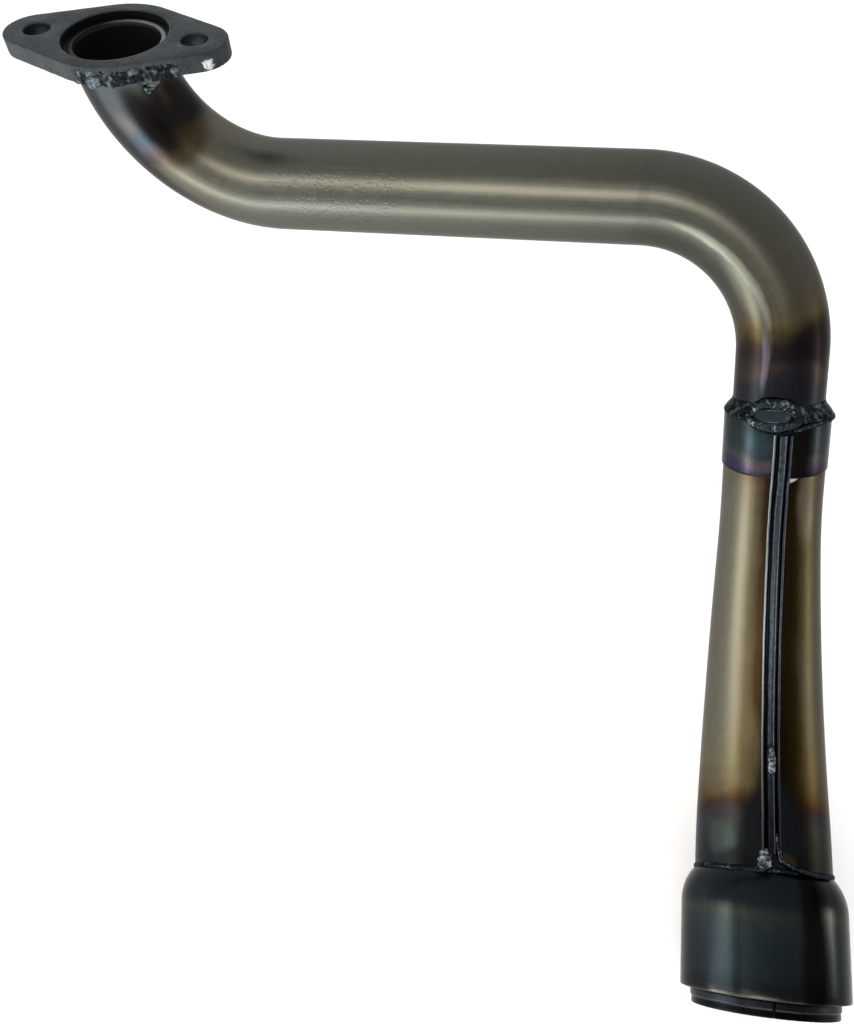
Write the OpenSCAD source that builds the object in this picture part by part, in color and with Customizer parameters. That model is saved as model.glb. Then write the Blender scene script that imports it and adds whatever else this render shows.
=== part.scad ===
// Exhaust header for a small motorcycle: a two-bolt flange, one bent tube, a sleeve,
// a curved flaring cone with a raised seam, and a double slip joint for the muffler.
// The origin is the centre of the port on the flange's sealing face, +Z points out of
// that face towards the engine, and the long run of the tube leaves towards +X.

/* [Flange] */
// Distance between the two stud holes
stud_spacing = 55; // [50:0.5:80]
// Diameter of each stud hole
stud_hole_d = 9; // [6:0.1:11]
// Thickness of the flange plate
flange_t = 6; // [4:0.5:12]
// Radius of the plate's ear round each stud hole
ear_r = 11; // [8:0.5:14]
// Width of the plate's rim round the gasket recess
port_rim = 5; // [3:0.5:10]
// Width of the gasket recess outside the tube
gasket_land = 1.5; // [0.5:0.1:3]
// Depth of the gasket recess
gasket_depth = 2.5; // [1:0.25:3.5]

/* [Tube] */
// Outer diameter of the header tube
tube_od = 32; // [25:0.5:35]
// Wall of the header tube
tube_wall = 1.5; // [1:0.1:2.5]
// Centreline radius of the bend under the flange
bend1_r = 46; // [40:1:80]
// Turn of the bend under the flange
bend1_angle = 93; // [60:1:110]
// Straight run between the two bends
run_len = 130; // [60:1:250]
// Centreline radius of the second bend
bend2_r = 53; // [40:1:80]
// Turn of the second bend
bend2_angle = 87; // [60:1:110]
// How far the second bend swings to the rear from straight down
bend2_back = 32; // [0:1:60]
// Straight tube between the second bend and the sleeve
drop_len = 21; // [10:1:60]

/* [Sleeve] */
// Wall of the sleeve that joins the tube to the cone
sleeve_wall = 2.6; // [2.2:0.1:4]
// Length of the sleeve
sleeve_len = 20.5; // [20:0.5:40]
// How far the tube's end stops short of the sleeve's lower end
tube_stop_short = 4; // [2:0.5:8]

/* [Cone] */
// Step from the sleeve's outside down to the cone's inlet
inlet_step = 0.6; // [0.2:0.1:1]
// Diameter of the cone's straight outlet
cone_out_d = 47.7; // [42:0.1:54]
// Wall of the cone
cone_wall = 1.2; // [0.8:0.1:1.6]
// Length of the cone's curved part, along its centreline
cone_arc_len = 148; // [110:1:220]
// Turn of the cone's curved part
cone_turn = 41; // [10:1:60]
// Length at the inlet before the cone starts to flare
flare_from = 22; // [14:1:40]
// Length at the outlet after the cone stops flaring
flare_stop = 9; // [8:1:30]
// Half the length over which each end of the flare is blended
flare_blend = 12; // [4:1:14]

/* [Seam] */
// Width of the raised seam over its two lips
seam_w = 6.2; // [5.4:0.1:8]
// Height of the seam's lips above the cone
seam_h = 1.7; // [1:0.1:2.5]
// Width of each lip
seam_lip_w = 1.2; // [0.8:0.1:1.6]
// Height of the seam's floor between the lips
seam_floor_h = 0.6; // [0.3:0.1:0.9]
// Room on each side of the filler rod laid between the lips
seam_rod_room = 0.8; // [0.2:0.1:0.9]
// How far the seam's head stops short of the sleeve's top
seam_head_short = 4.5; // [4.5:0.5:14]
// How far the seam stops short of the end cup
seam_stop_short = 6; // [5:0.5:20]

/* [End cup] */
// Wall of the end cup
cup_wall = 1.5; // [1:0.1:1.8]
// Length of the end cup's straight part
cup_straight = 27; // [15:0.5:50]
// Radius of the end cup's rounded shoulder
cup_shoulder_r = 16; // [10:0.5:20]
// How far the cone's curve stops short of the end cup
cup_gap = 3; // [2:0.5:5]

/* [Muffler spigot] */
// Radial room between spigot and end cup, where the muffler's inlet slips in
slip_room = 1.95; // [1.2:0.05:4]
// Wall of the spigot where it covers the cone's outlet
spigot_wall = 1.1; // [0.8:0.1:1.4]
// How far the spigot stands out of the end cup
spigot_out = 5.2; // [2:0.2:12]
// Length of the cone's outlet that the spigot covers
spigot_lap = 5; // [3:0.5:8]
// Step inside the spigot that stops it on the cone's end
lap_step = 0.35; // [0.3:0.05:0.6]
// Width of the open slit along the spigot's own seam
slit_w = 0.9; // [0.5:0.1:2]
// Length of that slit from the spigot's end
slit_len = 7; // [3:0.5:12]

/* [Welds] */
// Leg of the weld under the flange
flange_weld_leg = 4; // [2:0.25:5]
// Leg of the weld round the top of the sleeve, along the tube
sleeve_weld_leg = 3.4; // [2:0.2:5]
// Leg of the weld round the mouth of the end cup
cup_weld_leg = 1.6; // [1:0.1:2.4]
// Width of the weld patch laid over the joint of tube and sleeve
patch_w = 22; // [18:0.5:24]
// Height of the weld patch along the tube
patch_h = 11; // [9:0.5:11]
// Turn of the patch's middle round the sleeve from the seam
patch_turn = 10; // [8:1:30]
// How far the patch's middle lies above the sleeve's top edge
patch_above = 1.8; // [1.5:0.1:4]
// Width of the flat oval inside the patch
plug_w = 11; // [6:0.5:12]
// Height of the flat oval inside the patch
plug_h = 5.6; // [3:0.2:5.8]
// How far the flat oval lies to the left of the patch's middle
plug_left = 3.4; // [0:0.2:4]
// Width of a free-laid weld bead
bead_w = 2.4; // [1.6:0.1:2.6]

/* [Fits] */
// Radial clearance of the tube in the flange and in the sleeve
tube_fit = 0.1; // [0.05:0.05:0.3]
// Radial clearance of the cup's mouth and the spigot on the cone
cone_fit = 0.1; // [0.05:0.05:0.3]
// Gap that keeps a weld or a seam clear of the metal that it lies on
weld_gap = 0.08; // [0.06:0.01:0.12]

/* [Hidden] */

// Colours of the metals, as the photo shows them
plate_grey = "#4a4f55";
steel_grey = "#77776b";
burnt_blue = "#2f343c";
straw_steel = "#85826c";
weld_silver = "#8a8d8c";
weld_dark = "#50545a";

// A cut runs this far past the solid that it opens
cut_past = 1;
// Facets of round exact shapes
$fn = 96;

tube_r = tube_od / 2;
stub_len = flange_t;
gasket_d = tube_od + 2 * gasket_land;
flange_body_d = gasket_d + 2 * port_rim;
sleeve_od = tube_od + 2 * (tube_fit + sleeve_wall);
cone_in_d = sleeve_od - 2 * inlet_step;
cone_r = cone_arc_len / (cone_turn * PI / 180);
spigot_r = cone_out_d / 2 + cone_fit + spigot_wall;
cup_od = 2 * (spigot_r + slip_room + cup_wall);
cup_start = cone_arc_len + cup_gap;
cup_mouth_r = cone_out_d / 2 + cone_fit;
cup_rise = cup_od / 2 - cup_mouth_r;
cup_shoulder_len = sqrt(pow(cup_shoulder_r, 2) - pow(cup_shoulder_r - cup_rise, 2));
cup_len = cup_shoulder_len + cup_straight;
// The spigot starts where the shoulder's inside has risen clear of it, with room for a thin pipe
spigot_clear = 0.7;
spigot_start = cup_start + cup_shoulder_len + spigot_clear
    - sqrt(pow(cup_shoulder_r - cup_wall, 2) - pow(spigot_r + spigot_clear - cup_od / 2 + cup_shoulder_r, 2));
cone_len = spigot_start + spigot_lap;
seam_from = seam_head_short - sleeve_len;
seam_to = cup_start - seam_stop_short;

ear_x = stud_spacing / 2;

// Places along the pipe. In each, +Z is the way the gas goes and +X the inside of the next bend.
module at_bend1() { translate([0, 0, -stub_len]) rotate([180, 0, 0]) children(); }
module past_bend(r, angle) { translate([r, 0, 0]) rotate([0, angle, 0]) translate([-r, 0, 0]) children(); }
module at_run() { at_bend1() past_bend(bend1_r, bend1_angle) children(); }
module at_bend2() { at_run() translate([0, 0, run_len]) rotate([0, 0, 180 - bend2_back]) children(); }
module at_drop() { at_bend2() past_bend(bend2_r, bend2_angle) children(); }
module at_sleeve() { at_drop() translate([0, 0, drop_len]) rotate([0, 0, -90]) children(); }
module at_cone() { at_sleeve() translate([0, 0, sleeve_len]) children(); }
module at_outlet(s) {
    at_cone()
        translate(pipe_point(cone_arc_len))
            rotate([0, cone_turn, 0])
                translate([0, 0, s - cone_arc_len]) children();
}

// A straight tube along +Z, and a bent one that starts along +Z and turns towards +X
module straight(len, d, wall) {
    difference() {
        cylinder(d = d, h = len);
        translate([0, 0, -cut_past]) cylinder(d = d - 2 * wall, h = len + 2 * cut_past);
    }
}
module bend(r, angle, d, wall) {
    translate([r, 0, 0])
        rotate([90, 0, 180])
            rotate_extrude(angle = angle)
                translate([r, 0])
                    difference() {
                        circle(d = d);
                        circle(d = d - 2 * wall);
                    }
}

// Centreline of the sleeve and the cone, by the length s from the cone's inlet
function turned(s) = cone_turn * min(max(s, 0), cone_arc_len) / cone_arc_len;
function pipe_point(s) =
    let (a = turned(s), on = s - min(max(s, 0), cone_arc_len))
    [cone_r * (1 - cos(a)) + on * sin(a), 0, cone_r * sin(a) + on * cos(a)];
// Point at height r from the centreline, at the angle a round it from the inside of the bend
function round_point(s, r, a) =
    let (t = turned(s))
    pipe_point(s) + r * [cos(a) * cos(t), -sin(a), -cos(a) * sin(t)];

// Outer radius of the cone: straight, then a flare with blended ends, then straight
function ramp(x) = x < -flare_blend ? 0 : x > flare_blend ? x : pow(x + flare_blend, 2) / (4 * flare_blend);
flare_to = cone_arc_len - flare_stop;
flare_slope = (cone_out_d - cone_in_d) / 2 / (flare_to - flare_from);
function cone_at(s) = cone_in_d / 2 + flare_slope * (ramp(s - flare_from) - ramp(s - flare_to));
// Outer radius of what the seam lies on: the sleeve above the cone's inlet, then the cone
step_blend = 6;
function ground(s) =
    s < 0 ? sleeve_od / 2
          : max(cone_at(s), cone_in_d / 2 + (sleeve_od - cone_in_d) / 2 * (1 - s / step_blend));

// Joins rings of equally many points into one closed solid: a bar, or a ring if loop is true
module skin(rings, loop = false) {
    n = len(rings[0]);
    m = len(rings);
    walls = [for (i = [0 : m - (loop ? 1 : 2)], j = [0 : n - 1])
        [i * n + j, i * n + (j + 1) % n, ((i + 1) % m) * n + (j + 1) % n, ((i + 1) % m) * n + j]];
    caps = loop ? [] : [[for (j = [n - 1 : -1 : 0]) j], [for (j = [0 : n - 1]) (m - 1) * n + j]];
    polyhedron([for (r = rings) each r], concat(walls, caps), convexity = 6);
}

// Ripples of a hand-laid bead, between 0 and 1, with one long and one short beat
function ripple(i) = 0.5 + 0.3 * sin(i * 97) + 0.2 * sin(i * 41);

// Sides round the cone, and lengths between its rings
cone_sides = 48;
ring_step = 7;
function cone_ring(s, r) = [for (j = [0 : cone_sides - 1]) round_point(s, r, 360 * j / cone_sides)];
cone_stations = [for (i = [0 : ceil(cone_len / ring_step)]) cone_len * i / ceil(cone_len / ring_step)];

// A bead of half-round section laid on the pipe through the places [s, angle], with ripples
bead_sides = 8;
bead_foot = 0.35;
bead_hollow = 0.06;
bead_half_round = concat([for (j = [0 : bead_sides - 1]) let (a = 180 * j / (bead_sides - 1)) [-cos(a), sin(a)]],
                         [[bead_foot, bead_hollow], [-bead_foot, bead_hollow]]);
function bead_place(places, u) =
    let (i = min(floor(u * (len(places) - 1)), len(places) - 2), f = u * (len(places) - 1) - i)
    places[i] * (1 - f) + places[i + 1] * f;
function bead_height(h, u, n) = h * (0.55 + 0.45 * ripple(u * n)) * sin(20 + 140 * u);
module laid_bead(places, w, h, n, over = 0) {
    rings = [for (i = [0 : n])
        let (u = i / n, p = bead_place(places, u), q = bead_place(places, min(1, u + 0.05)),
             o = bead_place(places, max(0, u - 0.05)), g = ground(p[0]) + over + weld_gap,
             along = [q[0] - o[0], (q[1] - o[1]) * g * PI / 180], l = norm(along),
             side = [-along[1], along[0]] / l, half = w / 2 * (0.75 + 0.25 * ripple(i + 5)),
             up = bead_height(h, u, n))
        [for (q = bead_half_round)
            round_point(p[0] + side[0] * half * q[0], g + up * q[1], p[1] + side[1] * half * q[0] / g * 180 / PI)]];
    skin(rings);
}

module plate_outline() {
    hull() {
        circle(d = flange_body_d);
        for (side = [-1, 1]) translate([side * ear_x, 0]) circle(r = ear_r);
    }
}

module flange() {
    color(plate_grey)
        difference() {
            translate([0, 0, -flange_t]) linear_extrude(flange_t) plate_outline();
            translate([0, 0, -gasket_depth]) cylinder(d = gasket_d, h = gasket_depth + cut_past);
            translate([0, 0, -flange_t - cut_past]) cylinder(d = tube_od + 2 * tube_fit, h = flange_t);
            for (side = [-1, 1])
                translate([side * ear_x, 0, -flange_t - cut_past])
                    cylinder(d = stud_hole_d, h = flange_t + 2 * cut_past);
        }
}

// The tube's two bends and the run between them meet face to face, each with its own straight end
module upper_bend() {
    color(steel_grey) {
        translate([0, 0, -stub_len]) straight(stub_len - gasket_depth, tube_od, tube_wall);
        at_bend1() bend(bend1_r, bend1_angle, tube_od, tube_wall);
    }
}
module header_tube() { color(steel_grey) at_run() straight(run_len, tube_od, tube_wall); }
module lower_bend() {
    color(steel_grey) {
        at_bend2() bend(bend2_r, bend2_angle, tube_od, tube_wall);
        at_drop() straight(drop_len + sleeve_len - tube_stop_short, tube_od, tube_wall);
    }
}

// The weld fills the corner between the plate's underside and the tube, and follows the bend
flange_weld_sides = 72;
function bend1_point(s, r, a) =
    let (t = s / bend1_r * 180 / PI)
    [bend1_r * (1 - cos(t)) + r * cos(a) * cos(t), r * sin(a), bend1_r * sin(t) - r * cos(a) * sin(t)];
module flange_weld() {
    foot = tube_r + weld_gap;
    rings = [for (i = [0 : flange_weld_sides - 1])
        let (a = 360 * i / flange_weld_sides, leg = flange_weld_leg * (0.8 + 0.2 * ripple(i)))
        [bend1_point(weld_gap, foot, a), [(foot + leg) * cos(a), (foot + leg) * sin(a), weld_gap],
         bend1_point(leg * 0.55, foot + leg * 0.6, a), bend1_point(leg, foot, a)]];
    color(weld_dark) at_bend1() skin(rings, loop = true);
}

// One short run of extra metal on the front of the tube, just under the flange weld
tack_from = [flange_weld_leg + 4.4, -96];
tack_to = [flange_weld_leg + 1.6, -62];
tack_rings = 14;
tack_h = 1.6;
tack_half_w = 1.5;
module flange_tack() {
    rings = [for (i = [0 : tack_rings])
        let (u = i / tack_rings, p = tack_from * (1 - u) + tack_to * u,
             h = tack_h * sin(15 + 150 * u) * (0.7 + 0.3 * ripple(i)))
        [for (q = bead_half_round) bend1_point(p[0] + tack_half_w * q[0], tube_r + weld_gap + h * q[1], p[1])]];
    color(weld_silver) at_bend1() skin(rings);
}

module sleeve() {
    color(burnt_blue) at_sleeve() straight(sleeve_len, sleeve_od, (sleeve_od - tube_od) / 2 - tube_fit);
}

sleeve_weld_sides = 64;
rim_wander = 0.3;
module sleeve_weld() {
    foot = tube_r + weld_gap;
    rings = [for (i = [0 : sleeve_weld_sides - 1])
        let (a = 360 * i / sleeve_weld_sides, leg = sleeve_weld_leg * (0.75 + 0.25 * ripple(i)),
             rim = sleeve_od / 2 - rim_wander * ripple(i + 9))
        [for (p = [[foot, -leg], [foot + (rim - foot) * 0.55, -leg * 0.62], [rim, -weld_gap], [foot, -weld_gap]])
            [p[0] * cos(a), p[0] * sin(a), p[1]]]];
    color(burnt_blue) at_sleeve() skin(rings, loop = true);
}

// The patch is an oval of weld round a flat spot, laid over the joint of tube and sleeve.
// It lies on the tube, on the sleeve's weld and on the sleeve, one after the other.
patch_sides = 40;
plug_slices = 12;
plug_t = 0.9;
patch_clear = 0.16;
patch_s = -sleeve_len - patch_above;
function patch_ground(s) = patch_clear + lookup(s, [
    [-sleeve_len - sleeve_weld_leg - 0.4, tube_r],
    [-sleeve_len - sleeve_weld_leg * 0.62, tube_r + (sleeve_od / 2 - tube_r) * 0.62],
    [-sleeve_len - 0.2, sleeve_od / 2]]);
function patch_at(across, along, up) =
    round_point(patch_s + along, patch_ground(patch_s + along) + up, -patch_turn + across / sleeve_od * 360 / PI);
function plug_edge(a, inset = 0) = [(plug_w / 2 - inset) * cos(a) - plug_left, (plug_h / 2 - inset) * sin(a)];
function patch_edge(a) = [patch_w / 2 * cos(a), patch_h / 2 * sin(a)];
module patch_plug() {
    slices = [for (i = [0 : plug_slices])
        let (a = 170 - 160 * i / plug_slices, e = plug_edge(a, weld_gap))
        concat([for (v = [-1 : 0.5 : 1]) patch_at(e[0], v * e[1], 0)],
               [for (v = [1 : -0.5 : -1]) patch_at(e[0], v * e[1], plug_t)])];
    color(weld_dark) at_cone() skin(slices);
}
module patch_weld() {
    rings = [for (i = [0 : patch_sides - 1])
        let (a = 360 * i / patch_sides, h = 1.2 + 0.8 * ripple(i))
        [for (q = [[0, 0], [0.12, 0.7], [0.4, 1], [0.75, 0.75], [1, 0], [0.66, 0], [0.33, 0]])
            let (e = plug_edge(a) * (1 - q[0]) + patch_edge(a) * q[0])
            patch_at(e[0], e[1], h * q[1])]];
    color(weld_silver) at_cone() skin(rings, loop = true);
}

module cone() {
    rings = concat([for (s = cone_stations) cone_ring(s, cone_at(s))],
                   [for (i = [len(cone_stations) - 1 : -1 : 0])
                       cone_ring(cone_stations[i], cone_at(cone_stations[i]) - cone_wall)]);
    color(straw_steel) at_cone() skin(rings, loop = true);
}

// The seam's section: two rounded lips and the floor between them, as [across, up]
lip_in = seam_w / 2 - seam_lip_w;
seam_rod_d = seam_w - 2 * seam_lip_w - 2 * seam_rod_room;
seam_half = [[seam_w / 2, 0], [seam_w / 2 - 0.1, seam_h * 0.75], [seam_w / 2 - seam_lip_w / 2, seam_h],
             [lip_in + 0.1, seam_h * 0.8], [lip_in, seam_floor_h]];
seam_foot = [for (i = [1 : -1 : -1]) [seam_w / 4 * i, 0]];
seam_section = concat([for (p = seam_half) [-p[0], p[1]]],
                      [for (i = [len(seam_half) - 1 : -1 : 0]) seam_half[i]], seam_foot);
seam_step = 6;
seam_stations = concat([for (i = [0 : 2]) seam_from * (1 - i / 3)], [0, step_blend / 2],
    [for (i = [0 : ceil((seam_to - step_blend) / seam_step)])
        step_blend + (seam_to - step_blend) * i / ceil((seam_to - step_blend) / seam_step)]);
function on_seam(s, x, up) =
    let (g = ground(s) + weld_gap)
    round_point(s, g + up, x / g * 180 / PI);
module seam_strip() {
    color(straw_steel) at_cone() skin([for (s = seam_stations) [for (p = seam_section) on_seam(s, p[0], p[1])]]);
}

rod_sides = 10;
module seam_rod() {
    up = seam_floor_h + weld_gap + seam_rod_d / 2;
    color(burnt_blue)
        at_cone()
            skin([for (s = seam_stations)
                [for (j = [0 : rod_sides - 1])
                    let (a = -360 * j / rod_sides)
                    on_seam(s, seam_rod_d / 2 * cos(a), up + seam_rod_d / 2 * sin(a))]]);
}

// From the head of the seam the bead runs up and round the right side of the sleeve
top_weld_below = 1.4;
top_weld_h = 1.5;
top_weld_s = top_weld_below - sleeve_len;
module seam_top_weld() {
    color(weld_silver)
        at_cone()
            laid_bead([[top_weld_s + 2.4, 16], [top_weld_s + 0.9, 30], [top_weld_s + 0.2, 46],
                       [top_weld_s, 63], [top_weld_s, 81], [top_weld_s, 99]], bead_w, top_weld_h, 20);
}

mid_tack_s = 110;
mid_tack_len = 12;
mid_tack_h = 1.2;
module seam_mid_tack() {
    color(weld_silver)
        at_cone()
            laid_bead([[mid_tack_s - mid_tack_len / 2, 0], [mid_tack_s, 1], [mid_tack_s + mid_tack_len / 2, 0]],
                      bead_w, mid_tack_h, 10, seam_floor_h + seam_rod_d + weld_gap);
}

end_weld_h = 2.4;
end_weld_s = cup_start - cup_weld_leg - weld_gap;
module seam_end_weld() {
    color(weld_silver)
        at_cone() {
            laid_bead([[seam_to + weld_gap, -4.5], [end_weld_s, -4]], 1.4 * bead_w, end_weld_h, 8);
            laid_bead([[seam_to - 3, 12], [end_weld_s, 12.5]], bead_w, 0.8 * end_weld_h, 10);
        }
}

cup_weld_sides = 64;
module cup_weld() {
    foot = cone_out_d / 2 + weld_gap;
    rings = [for (i = [0 : cup_weld_sides - 1])
        let (a = 360 * i / cup_weld_sides, leg = cup_weld_leg * (0.8 + 0.2 * ripple(i)))
        [for (p = [[foot, -leg], [foot + leg * 0.4, -leg * 0.45], [foot + leg * 0.55, -weld_gap], [foot, -weld_gap]])
            [p[0] * cos(a), p[0] * sin(a), p[1]]]];
    color(burnt_blue) at_outlet(cup_start) skin(rings, loop = true);
}

// The end cup's wall, as radius and length: an arc for the shoulder, then straight
module cup_section() {
    intersection() {
        translate([cup_od / 2 - cup_shoulder_r, cup_shoulder_len])
            difference() {
                circle(r = cup_shoulder_r);
                circle(r = cup_shoulder_r - cup_wall);
            }
        translate([cup_mouth_r, 0]) square([cup_rise, cup_shoulder_len]);
    }
    translate([cup_od / 2 - cup_wall, cup_shoulder_len]) square([cup_wall, cup_straight]);
}

module end_cup() { color(burnt_blue) at_outlet(cup_start) rotate_extrude() cup_section(); }

module muffler_spigot() {
    len = cup_start + cup_len + spigot_out - spigot_start;
    color(burnt_blue)
        at_outlet(spigot_start)
            difference() {
                straight(len, 2 * spigot_r, spigot_wall + lap_step);
                translate([0, 0, -cut_past]) cylinder(r = spigot_r - spigot_wall, h = spigot_lap + cut_past);
                translate([spigot_r / 2, -slit_w / 2, len - slit_len])
                    cube([spigot_r, slit_w, slit_len + cut_past]);
            }
}

flange();
upper_bend();
header_tube();
lower_bend();
flange_weld();
flange_tack();
sleeve();
sleeve_weld();
patch_plug();
patch_weld();
cone();
seam_strip();
seam_rod();
seam_top_weld();
seam_mid_tack();
seam_end_weld();
cup_weld();
end_cup();
muffler_spigot();
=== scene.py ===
"""Looks of a small motorcycle's exhaust header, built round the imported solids.

The pipe is followed by its centreline. s is the length along it in metres, 0 at the cone's inlet,
negative towards the flange. The angle a runs round the pipe from the seam, positive to the right
of the seam as the camera sees it.
"""

import functools
import math

import bmesh
import bpy
import numpy as np
from mathutils import Matrix, Vector, noise


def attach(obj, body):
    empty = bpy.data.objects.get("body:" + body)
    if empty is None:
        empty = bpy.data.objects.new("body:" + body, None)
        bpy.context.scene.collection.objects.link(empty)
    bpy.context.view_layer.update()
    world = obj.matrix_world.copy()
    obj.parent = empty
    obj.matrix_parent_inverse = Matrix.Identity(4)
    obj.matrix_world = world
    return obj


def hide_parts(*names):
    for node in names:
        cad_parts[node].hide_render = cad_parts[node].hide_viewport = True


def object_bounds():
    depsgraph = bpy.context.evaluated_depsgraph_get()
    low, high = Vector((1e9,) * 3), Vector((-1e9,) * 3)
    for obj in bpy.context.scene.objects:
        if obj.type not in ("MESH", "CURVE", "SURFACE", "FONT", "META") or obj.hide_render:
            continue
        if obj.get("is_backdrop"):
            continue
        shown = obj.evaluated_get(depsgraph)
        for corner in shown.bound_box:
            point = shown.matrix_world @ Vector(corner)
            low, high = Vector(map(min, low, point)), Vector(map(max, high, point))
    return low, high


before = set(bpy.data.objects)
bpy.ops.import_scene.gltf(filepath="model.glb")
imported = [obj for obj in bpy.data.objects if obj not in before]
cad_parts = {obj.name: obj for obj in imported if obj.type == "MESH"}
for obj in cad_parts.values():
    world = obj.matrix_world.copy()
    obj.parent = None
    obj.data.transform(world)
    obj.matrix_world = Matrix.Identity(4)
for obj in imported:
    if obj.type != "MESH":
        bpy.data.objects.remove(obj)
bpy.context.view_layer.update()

bl_info = {
    "name": "Exhaust header",
    "version": (1, 0, 0),
    "blender": (4, 5, 0),
    "location": "View3D > Sidebar > Header",
    "description": "Builds a welded exhaust header with heat-tinted steel and laid weld beads",
    "category": "Object",
}

MM = 0.001

# Where parts end inside one another, and the room between them, as in the solids
TUBE_END = -4 * MM
CONE_END = 161.98 * MM
SPIGOT_START = 156.99 * MM
ROOM = 0.1 * MM

# Edge radius of the sawn tube and cup, and of the thinner cone and spigot
EDGE = 0.35 * MM
FINE_EDGE = 0.3 * MM

# The step of the centreline's table, and the straight line that it ends with
TABLE_STEP = 0.5 * MM
FAR_END = 0.3

# How the ground under the seam and the welds eases off the sleeve, down to the cone and up to the tube
STEP_BLEND = 6 * MM
FILLET = 3.4 * MM

# Sides of the tube with its sleeve, and of the wider cone, cup and recess
TUBE_SIDES, CONE_SIDES = 96, 128

# Weld beads: the length of a ripple, how deep a bead's edges lie and how far its underside is below them
RIPPLE = 1.7 * MM
SINK = 0.25 * MM
FUSED = 0.3 * MM

# The samples of a bead's path and how often they are smoothed, its mesh's step and its points across
PATH_SAMPLES, PATH_SMOOTHING = 400, 12
BEAD_STEP = 0.3 * MM
BEAD_POINTS = 17

# The spot on the flange's edge where a knock has bared the metal
CHIP = (0.0346, -0.0086, -0.0038)

# Where two noises that are added have most of their values
MOTTLED = (0.6, 1.4)

MATERIALS = {}
LINE = None


# Colour and node helpers

def linear(hex_colour):
    """An sRGB hex colour as the linear RGBA that shaders use."""
    parts = [int(hex_colour[i:i + 2], 16) / 255 for i in (1, 3, 5)]
    return tuple(p / 12.92 if p <= 0.04045 else ((p + 0.055) / 1.055) ** 2.4 for p in parts) + (1.0,)


def finish(key):
    """A colour that the user can change, as linear RGBA."""
    return tuple(getattr(bpy.context.scene.header_finish, key))


def add_node(tree, kind, inputs=(), **settings):
    """Adds a shader node with its settings, and fills its sockets with values or links. They are
    given by name or number, or in the sockets' order. A node stands for its first output in use."""
    made = tree.nodes.new("ShaderNode" + kind)
    for key, value in settings.items():
        setattr(made, key, value)
    for socket, value in inputs.items() if isinstance(inputs, dict) else enumerate(inputs):
        if isinstance(value, bpy.types.Node):
            value = next(output for output in value.outputs if output.enabled)
        if isinstance(value, bpy.types.NodeSocket):
            tree.links.new(value, made.inputs[socket])
        else:
            made.inputs[socket].default_value = value
    return made


def fill_ramp(ramp, stops):
    """Sets a colour ramp's stops from pairs of position and hex colour."""
    elements = ramp.color_ramp.elements
    while len(elements) > 1:
        elements.remove(elements[-1])
    elements[0].position, elements[0].color = stops[0][0], linear(stops[0][1])
    for position, colour in stops[1:]:
        elements.new(position).color = linear(colour)


def new_material(name):
    """An empty material and the function that adds nodes to it."""
    material = bpy.data.materials.new(name)
    material.use_nodes = True
    material.node_tree.nodes.clear()
    return material, functools.partial(add_node, material.node_tree)


# Sizes and colours that a user would change

def length(name, description, default):
    return bpy.props.FloatProperty(name=name, description=description, default=default, min=0.0,
                                   precision=4, subtype="DISTANCE", unit="LENGTH")


def turn(name, description, degrees):
    return bpy.props.FloatProperty(name=name, description=description, default=math.radians(degrees),
                                   subtype="ANGLE", unit="ROTATION")


def colour(name, description, hex_colour):
    return bpy.props.FloatVectorProperty(name=name, description=description, default=linear(hex_colour),
                                         size=4, min=0.0, max=1.0, subtype="COLOR")


class HEADER_PG_tube(bpy.types.PropertyGroup):
    outer_d: length("Outside diameter", "Outside diameter of the header tube", 0.032)
    wall: length("Wall", "Wall of the header tube", 0.0015)
    bend1_r: length("First bend", "Centreline radius of the bend under the flange", 0.046)
    bend1_turn: turn("First turn", "Turn of the bend under the flange", 93)
    run: length("Run", "Straight run between the bends", 0.130)
    bend2_r: length("Second bend", "Centreline radius of the second bend", 0.053)
    bend2_turn: turn("Second turn", "Turn of the second bend", 87)
    bend2_swing: turn("Swing", "How far the second bend swings back from straight down", 32)
    drop: length("Drop", "Straight tube above the sleeve", 0.021)


class HEADER_PG_flange(bpy.types.PropertyGroup):
    thickness: length("Thickness", "Thickness of the plate", 0.006)
    stud_spacing: length("Stud spacing", "Distance between the stud holes", 0.055)
    stud_hole_d: length("Stud hole", "Diameter of each stud hole", 0.009)
    ear_r: length("Ear radius", "Radius of the plate round each stud hole", 0.011)
    body_d: length("Body", "Diameter of the plate round the port", 0.045)
    gasket_d: length("Recess", "Diameter of the gasket recess", 0.035)
    gasket_depth: length("Recess depth", "Depth of the gasket recess", 0.0025)


class HEADER_PG_cone(bpy.types.PropertyGroup):
    sleeve_d: length("Sleeve", "Outside diameter of the sleeve", 0.0374)
    sleeve_len: length("Sleeve length", "Length of the sleeve", 0.0205)
    inlet_d: length("Inlet", "Outside diameter of the cone's inlet", 0.0362)
    outlet_d: length("Outlet", "Outside diameter of the cone's outlet", 0.0477)
    wall: length("Wall", "Wall of the cone", 0.0012)
    arc: length("Arc", "Length of the cone's curved part", 0.148)
    curve: turn("Curve", "Turn of the cone's curved part", 41)
    flare_from: length("Flare start", "Length before the cone flares", 0.022)
    flare_stop: length("Flare stop", "Length after the cone has flared", 0.009)
    flare_blend: length("Flare blend", "Half length of each blend of the flare", 0.012)
    seam_w: length("Seam width", "Width of the seam over its two lips", 0.0062)
    seam_h: length("Seam height", "Height of the seam's lips", 0.0017)


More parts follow.
